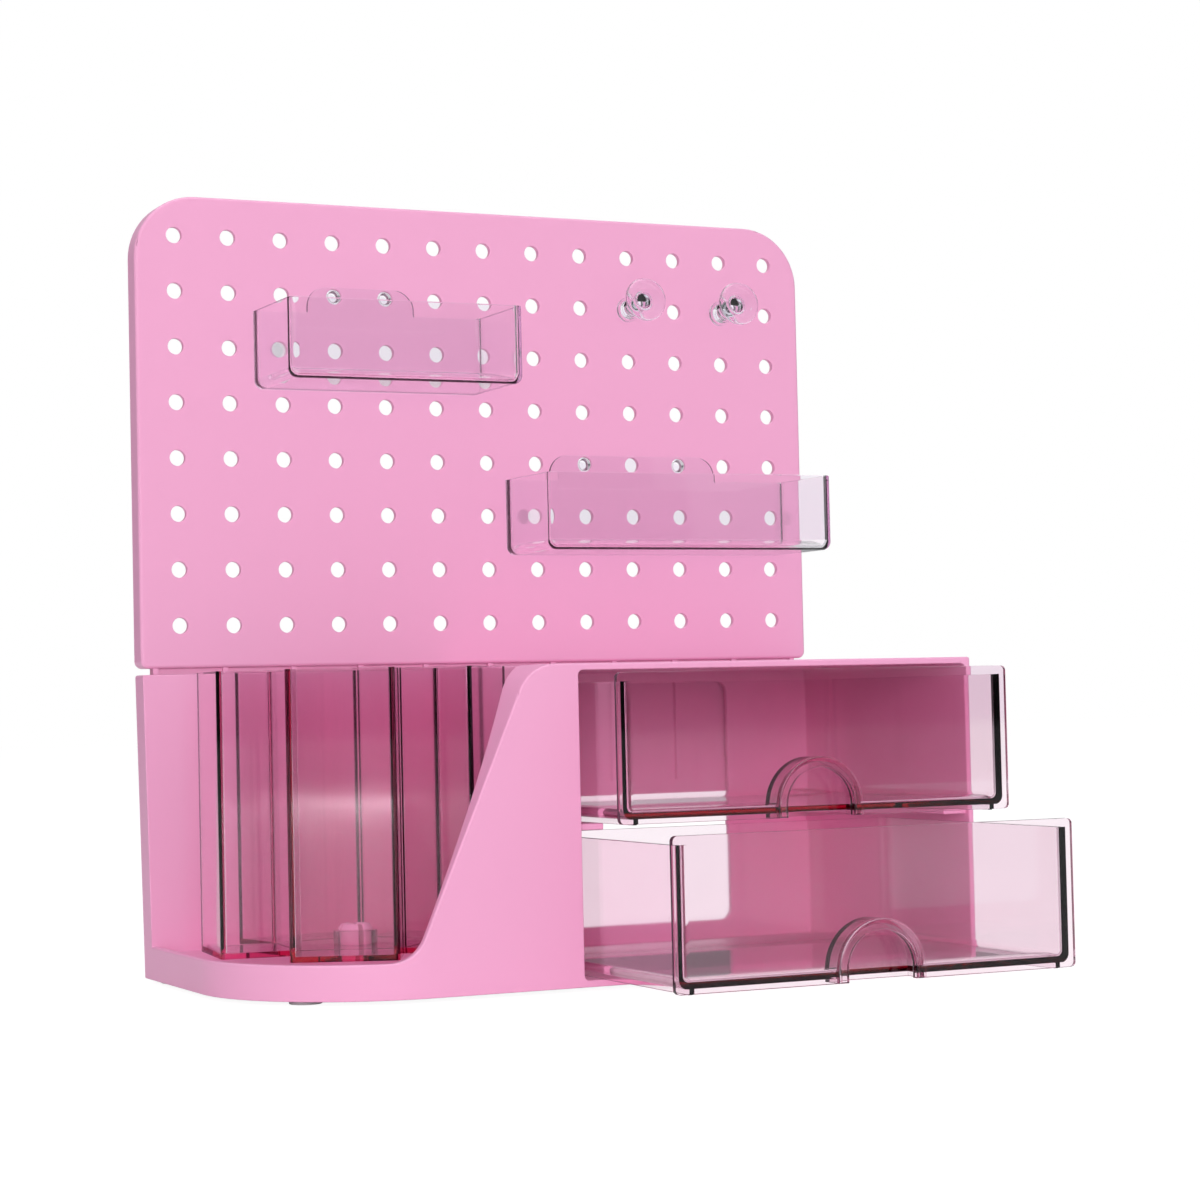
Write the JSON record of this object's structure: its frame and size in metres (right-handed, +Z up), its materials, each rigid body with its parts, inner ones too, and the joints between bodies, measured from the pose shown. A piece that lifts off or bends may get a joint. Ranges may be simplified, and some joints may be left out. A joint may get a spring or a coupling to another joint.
{
  "type": "pegboard desk organizer with drawers",
  "caption": "Desk organizer: a plug-in pegboard with clear trays and knobs stands behind a moulded base with see-through drawers and a turning pen holder.",
  "frame": {"origin": "middle of the object's box on the desk, at the underside of the feet", "axes": "+X to the right as seen from the front, +Y to the back, +Z up"},
  "size_m": [0.296, 0.2128, 0.3088],
  "materials": {
    "pink_moulding": "satin",
    "smoky_clear": "polished, see-through",
    "water_clear": "polished, see-through",
    "rubber_pad": "matte"
  },
  "bodies": {
    "base": {"base_housing": "pink_moulding", "front_left_foot": "rubber_pad", "front_right_foot": "rubber_pad", "rear_left_foot": "rubber_pad", "rear_right_foot": "rubber_pad"},
    "upper_drawer": {"upper_drawer": "smoky_clear"},
    "lower_drawer": {"lower_drawer": "smoky_clear"},
    "pen_holder": {"pen_holder": "smoky_clear"},
    "pegboard": {"pegboard_panel": "pink_moulding"},
    "short_tray": {"short_tray": "water_clear"},
    "long_tray": {"long_tray": "water_clear"},
    "left_knob": {"left_knob": "water_clear"},
    "right_knob": {"right_knob": "water_clear"}
  },
  "joints": [
    {"name": "upper_drawer_slide", "type": "slide", "parent": "base", "child": "upper_drawer", "axis": [0, -1, 0], "range_m": [-0.0276, 0.0724]},
    {"name": "lower_drawer_slide", "type": "slide", "parent": "base", "child": "lower_drawer", "axis": [0, -1, 0], "range_m": [-0.0686, 0.0314]},
    {"name": "holder_turn", "type": "hinge", "parent": "base", "child": "pen_holder", "pos_m": [-0.08476, 0.0335, 0.0148], "axis": [0, 0, 1], "continuous": true},
    {"name": "board_lift", "type": "slide", "parent": "base", "child": "pegboard", "axis": [0, 0, 1], "range_m": [0, 0.065]},
    {"name": "short_tray_pull", "type": "slide", "parent": "pegboard", "child": "short_tray", "axis": [0, -1, 0], "range_m": [0, 0.012]},
    {"name": "long_tray_pull", "type": "slide", "parent": "pegboard", "child": "long_tray", "axis": [0, -1, 0], "range_m": [0, 0.012]},
    {"name": "left_knob_pull", "type": "slide", "parent": "pegboard", "child": "left_knob", "axis": [0, -1, 0], "range_m": [0, 0.012]},
    {"name": "right_knob_pull", "type": "slide", "parent": "pegboard", "child": "right_knob", "axis": [0, -1, 0], "range_m": [0, 0.012]}
  ]
}
